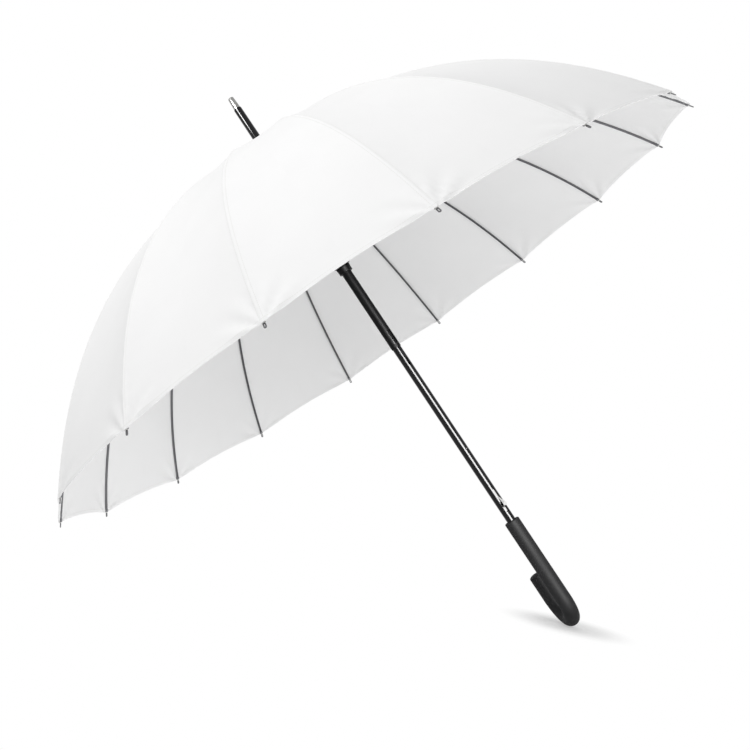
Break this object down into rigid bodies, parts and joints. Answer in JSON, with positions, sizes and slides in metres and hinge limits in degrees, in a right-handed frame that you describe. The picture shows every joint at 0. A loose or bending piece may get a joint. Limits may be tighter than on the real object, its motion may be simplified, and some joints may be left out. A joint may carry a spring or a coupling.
{
  "type": "stick umbrella",
  "caption": "White dome stick umbrella with bowed steel ribs on hinged stretchers, a sliding runner, leaf-spring catches, a black shaft and a crook handle.",
  "frame": {"origin": "on the shaft's axis in the middle of the hand's grip, 65 mm below the top of the handle", "axes": "+Z along the shaft towards the ferrule, +Y the way the crook bends, +X along the first rib"},
  "size_m": [1.0352, 1.0352, 0.9054],
  "materials": {
    "white_cloth": "plain-woven matt cloth",
    "black_tube": "gloss black",
    "black_plastic": "satin black moulding",
    "grip": "soft-touch dark grey",
    "rib_steel": "dark grey plated steel",
    "bright_steel": "bright plated"
  },
  "bodies": {
    "shaft": {"shaft_tube": "black_tube", "ferrule": "black_plastic", "ferrule_cap": "bright_steel", "crown_washer": "white_cloth", "top_notch": "black_plastic", "canopy": "white_cloth", "stop_pin": "bright_steel", "handle_grip": "grip", "handle_end_cap": "grip"},
    "runner": {"runner": "black_plastic"},
    "rib_01": {"rib_01": "rib_steel", "rib_tip_01": "rib_steel"},
    "rib_02": {"rib_02": "rib_steel", "rib_tip_02": "rib_steel"},
    "rib_03": {"rib_03": "rib_steel", "rib_tip_03": "rib_steel"},
    "rib_04": {"rib_04": "rib_steel", "rib_tip_04": "rib_steel"},
    "rib_05": {"rib_05": "rib_steel", "rib_tip_05": "rib_steel"},
    "rib_06": {"rib_06": "rib_steel", "rib_tip_06": "rib_steel"},
    "rib_07": {"rib_07": "rib_steel", "rib_tip_07": "rib_steel"},
    "rib_08": {"rib_08": "rib_steel", "rib_tip_08": "rib_steel"},
    "rib_09": {"rib_09": "rib_steel", "rib_tip_09": "rib_steel"},
    "rib_10": {"rib_10": "rib_steel", "rib_tip_10": "rib_steel"},
    "rib_11": {"rib_11": "rib_steel", "rib_tip_11": "rib_steel"},
    "rib_12": {"rib_12": "rib_steel", "rib_tip_12": "rib_steel"},
    "rib_13": {"rib_13": "rib_steel", "rib_tip_13": "rib_steel"},
    "rib_14": {"rib_14": "rib_steel", "rib_tip_14": "rib_steel"},
    "rib_15": {"rib_15": "rib_steel", "rib_tip_15": "rib_steel"},
    "rib_16": {"rib_16": "rib_steel", "rib_tip_16": "rib_steel"},
    "stretcher_01": {"stretcher_01": "rib_steel"},
    "stretcher_02": {"stretcher_02": "rib_steel"},
    "stretcher_03": {"stretcher_03": "rib_steel"},
    "stretcher_04": {"stretcher_04": "rib_steel"},
    "stretcher_05": {"stretcher_05": "rib_steel"},
    "stretcher_06": {"stretcher_06": "rib_steel"},
    "stretcher_07": {"stretcher_07": "rib_steel"},
    "stretcher_08": {"stretcher_08": "rib_steel"},
    "stretcher_09": {"stretcher_09": "rib_steel"},
    "stretcher_10": {"stretcher_10": "rib_steel"},
    "stretcher_11": {"stretcher_11": "rib_steel"},
    "stretcher_12": {"stretcher_12": "rib_steel"},
    "stretcher_13": {"stretcher_13": "rib_steel"},
    "stretcher_14": {"stretcher_14": "rib_steel"},
    "stretcher_15": {"stretcher_15": "rib_steel"},
    "stretcher_16": {"stretcher_16": "rib_steel"},
    "top_spring": {"top_spring": "bright_steel"},
    "hand_spring": {"hand_spring": "bright_steel"}
  },
  "joints": [
    {"name": "runner_slide", "type": "slide", "parent": "shaft", "child": "runner", "axis": [0, 0, -1], "range_m": [0, 0.27883], "deforming": ["canopy", "top_spring", "hand_spring"]},
    {"name": "rib_hinge_01", "type": "hinge", "parent": "shaft", "child": "rib_01", "pos_m": [0.0092, 0, 0.7], "axis": [0, 1, 0], "range_deg": [0, 58.31]},
    {"name": "rib_hinge_02", "type": "hinge", "parent": "shaft", "child": "rib_02", "pos_m": [0.0085, 0.00352, 0.7], "axis": [-0.3827, 0.9239, 0], "range_deg": [0, 58.31]},
    {"name": "rib_hinge_03", "type": "hinge", "parent": "shaft", "child": "rib_03", "pos_m": [0.00651, 0.00651, 0.7], "axis": [-0.7071, 0.7071, 0], "range_deg": [0, 58.31]},
    {"name": "rib_hinge_04", "type": "hinge", "parent": "shaft", "child": "rib_04", "pos_m": [0.00352, 0.0085, 0.7], "axis": [-0.9239, 0.3827, 0], "range_deg": [0, 58.31]},
    {"name": "rib_hinge_05", "type": "hinge", "parent": "shaft", "child": "rib_05", "pos_m": [0, 0.0092, 0.7], "axis": [-1, 0, 0], "range_deg": [0, 58.31]},
    {"name": "rib_hinge_06", "type": "hinge", "parent": "shaft", "child": "rib_06", "pos_m": [-0.00352, 0.0085, 0.7], "axis": [-0.9239, -0.3827, 0], "range_deg": [0, 58.31]},
    {"name": "rib_hinge_07", "type": "hinge", "parent": "shaft", "child": "rib_07", "pos_m": [-0.00651, 0.00651, 0.7], "axis": [-0.7071, -0.7071, 0], "range_deg": [0, 58.31]},
    {"name": "rib_hinge_08", "type": "hinge", "parent": "shaft", "child": "rib_08", "pos_m": [-0.0085, 0.00352, 0.7], "axis": [-0.3827, -0.9239, 0], "range_deg": [0, 58.31]},
    {"name": "rib_hinge_09", "type": "hinge", "parent": "shaft", "child": "rib_09", "pos_m": [-0.0092, 0, 0.7], "axis": [0, -1, 0], "range_deg": [0, 58.31]},
    {"name": "rib_hinge_10", "type": "hinge", "parent": "shaft", "child": "rib_10", "pos_m": [-0.0085, -0.00352, 0.7], "axis": [0.3827, -0.9239, 0], "range_deg": [0, 58.31]},
    {"name": "rib_hinge_11", "type": "hinge", "parent": "shaft", "child": "rib_11", "pos_m": [-0.00651, -0.00651, 0.7], "axis": [0.7071, -0.7071, 0], "range_deg": [0, 58.31]},
    {"name": "rib_hinge_12", "type": "hinge", "parent": "shaft", "child": "rib_12", "pos_m": [-0.00352, -0.0085, 0.7], "axis": [0.9239, -0.3827, 0], "range_deg": [0, 58.31]},
    {"name": "rib_hinge_13", "type": "hinge", "parent": "shaft", "child": "rib_13", "pos_m": [0, -0.0092, 0.7], "axis": [1, 0, 0], "range_deg": [0, 58.31]},
    {"name": "rib_hinge_14", "type": "hinge", "parent": "shaft", "child": "rib_14", "pos_m": [0.00352, -0.0085, 0.7], "axis": [0.9239, 0.3827, 0], "range_deg": [0, 58.31]},
    {"name": "rib_hinge_15", "type": "hinge", "parent": "shaft", "child": "rib_15", "pos_m": [0.00651, -0.00651, 0.7], "axis": [0.7071, 0.7071, 0], "range_deg": [0, 58.31]},
    {"name": "rib_hinge_16", "type": "hinge", "parent": "shaft", "child": "rib_16", "pos_m": [0.0085, -0.00352, 0.7], "axis": [0.3827, 0.9239, 0], "range_deg": [0, 58.31]},
    {"name": "stretcher_hinge_01", "type": "hinge", "parent": "rib_01", "child": "stretcher_01", "pos_m": [0.23433, 0, 0.64065], "axis": [0, -1, 0], "range_deg": [0, 101.33]},
    {"name": "stretcher_hinge_02", "type": "hinge", "parent": "rib_02", "child": "stretcher_02", "pos_m": [0.21649, 0.08967, 0.64065], "axis": [0.3827, -0.9239, 0], "range_deg": [0, 101.33]},
    {"name": "stretcher_hinge_03", "type": "hinge", "parent": "rib_03", "child": "stretcher_03", "pos_m": [0.16569, 0.16569, 0.64065], "axis": [0.7071, -0.7071, 0], "range_deg": [0, 101.33]},
    {"name": "stretcher_hinge_04", "type": "hinge", "parent": "rib_04", "child": "stretcher_04", "pos_m": [0.08967, 0.21649, 0.64065], "axis": [0.9239, -0.3827, 0], "range_deg": [0, 101.33]},
    {"name": "stretcher_hinge_05", "type": "hinge", "parent": "rib_05", "child": "stretcher_05", "pos_m": [0, 0.23433, 0.64065], "axis": [1, 0, 0], "range_deg": [0, 101.33]},
    {"name": "stretcher_hinge_06", "type": "hinge", "parent": "rib_06", "child": "stretcher_06", "pos_m": [-0.08967, 0.21649, 0.64065], "axis": [0.9239, 0.3827, 0], "range_deg": [0, 101.33]},
    {"name": "stretcher_hinge_07", "type": "hinge", "parent": "rib_07", "child": "stretcher_07", "pos_m": [-0.16569, 0.16569, 0.64065], "axis": [0.7071, 0.7071, 0], "range_deg": [0, 101.33]},
    {"name": "stretcher_hinge_08", "type": "hinge", "parent": "rib_08", "child": "stretcher_08", "pos_m": [-0.21649, 0.08967, 0.64065], "axis": [0.3827, 0.9239, 0], "range_deg": [0, 101.33]},
    {"name": "stretcher_hinge_09", "type": "hinge", "parent": "rib_09", "child": "stretcher_09", "pos_m": [-0.23433, 0, 0.64065], "axis": [0, 1, 0], "range_deg": [0, 101.33]},
    {"name": "stretcher_hinge_10", "type": "hinge", "parent": "rib_10", "child": "stretcher_10", "pos_m": [-0.21649, -0.08967, 0.64065], "axis": [-0.3827, 0.9239, 0], "range_deg": [0, 101.33]},
    {"name": "stretcher_hinge_11", "type": "hinge", "parent": "rib_11", "child": "stretcher_11", "pos_m": [-0.16569, -0.16569, 0.64065], "axis": [-0.7071, 0.7071, 0], "range_deg": [0, 101.33]},
    {"name": "stretcher_hinge_12", "type": "hinge", "parent": "rib_12", "child": "stretcher_12", "pos_m": [-0.08967, -0.21649, 0.64065], "axis": [-0.9239, 0.3827, 0], "range_deg": [0, 101.33]},
    {"name": "stretcher_hinge_13", "type": "hinge", "parent": "rib_13", "child": "stretcher_13", "pos_m": [0, -0.23433, 0.64065], "axis": [-1, 0, 0], "range_deg": [0, 101.33]},
    {"name": "stretcher_hinge_14", "type": "hinge", "parent": "rib_14", "child": "stretcher_14", "pos_m": [0.08967, -0.21649, 0.64065], "axis": [-0.9239, -0.3827, 0], "range_deg": [0, 101.33]},
    {"name": "stretcher_hinge_15", "type": "hinge", "parent": "rib_15", "child": "stretcher_15", "pos_m": [0.16569, -0.16569, 0.64065], "axis": [-0.7071, -0.7071, 0], "range_deg": [0, 101.33]},
    {"name": "stretcher_hinge_16", "type": "hinge", "parent": "rib_16", "child": "stretcher_16", "pos_m": [0.21649, -0.08967, 0.64065], "axis": [-0.3827, -0.9239, 0], "range_deg": [0, 101.33]},
    {"name": "top_spring_press", "type": "hinge", "parent": "shaft", "child": "top_spring", "pos_m": [0.00171, -0.0047, 0.4196], "axis": [0.9397, 0.342, 0], "range_deg": [0, 2.1], "stiffness_Nm_per_rad": 1},
    {"name": "hand_spring_press", "type": "hinge", "parent": "shaft", "child": "hand_spring", "pos_m": [0.00171, -0.0047, 0.184], "axis": [0.9397, 0.342, 0], "range_deg": [0, 2], "stiffness_Nm_per_rad": 1}
  ],
  "couplings": [
    {"joint": "rib_hinge_01", "follows": "runner_slide", "rad_per_m": 3.6492},
    {"joint": "rib_hinge_02", "follows": "runner_slide", "rad_per_m": 3.6492},
    {"joint": "rib_hinge_03", "follows": "runner_slide", "rad_per_m": 3.6492},
    {"joint": "rib_hinge_04", "follows": "runner_slide", "rad_per_m": 3.6492},
    {"joint": "rib_hinge_05", "follows": "runner_slide", "rad_per_m": 3.6492},
    {"joint": "rib_hinge_06", "follows": "runner_slide", "rad_per_m": 3.6492},
    {"joint": "rib_hinge_07", "follows": "runner_slide", "rad_per_m": 3.6492},
    {"joint": "rib_hinge_08", "follows": "runner_slide", "rad_per_m": 3.6492},
    {"joint": "rib_hinge_09", "follows": "runner_slide", "rad_per_m": 3.6492},
    {"joint": "rib_hinge_10", "follows": "runner_slide", "rad_per_m": 3.6492},
    {"joint": "rib_hinge_11", "follows": "runner_slide", "rad_per_m": 3.6492},
    {"joint": "rib_hinge_12", "follows": "runner_slide", "rad_per_m": 3.6492},
    {"joint": "rib_hinge_13", "follows": "runner_slide", "rad_per_m": 3.6492},
    {"joint": "rib_hinge_14", "follows": "runner_slide", "rad_per_m": 3.6492},
    {"joint": "rib_hinge_15", "follows": "runner_slide", "rad_per_m": 3.6492},
    {"joint": "rib_hinge_16", "follows": "runner_slide", "rad_per_m": 3.6492},
    {"joint": "stretcher_hinge_01", "follows": "runner_slide", "rad_per_m": 6.3423},
    {"joint": "stretcher_hinge_02", "follows": "runner_slide", "rad_per_m": 6.3423},
    {"joint": "stretcher_hinge_03", "follows": "runner_slide", "rad_per_m": 6.3423},
    {"joint": "stretcher_hinge_04", "follows": "runner_slide", "rad_per_m": 6.3423},
    {"joint": "stretcher_hinge_05", "follows": "runner_slide", "rad_per_m": 6.3423},
    {"joint": "stretcher_hinge_06", "follows": "runner_slide", "rad_per_m": 6.3423},
    {"joint": "stretcher_hinge_07", "follows": "runner_slide", "rad_per_m": 6.3423},
    {"joint": "stretcher_hinge_08", "follows": "runner_slide", "rad_per_m": 6.3423},
    {"joint": "stretcher_hinge_09", "follows": "runner_slide", "rad_per_m": 6.3423},
    {"joint": "stretcher_hinge_10", "follows": "runner_slide", "rad_per_m": 6.3423},
    {"joint": "stretcher_hinge_11", "follows": "runner_slide", "rad_per_m": 6.3423},
    {"joint": "stretcher_hinge_12", "follows": "runner_slide", "rad_per_m": 6.3423},
    {"joint": "stretcher_hinge_13", "follows": "runner_slide", "rad_per_m": 6.3423},
    {"joint": "stretcher_hinge_14", "follows": "runner_slide", "rad_per_m": 6.3423},
    {"joint": "stretcher_hinge_15", "follows": "runner_slide", "rad_per_m": 6.3423},
    {"joint": "stretcher_hinge_16", "follows": "runner_slide", "rad_per_m": 6.3423}
  ]
}
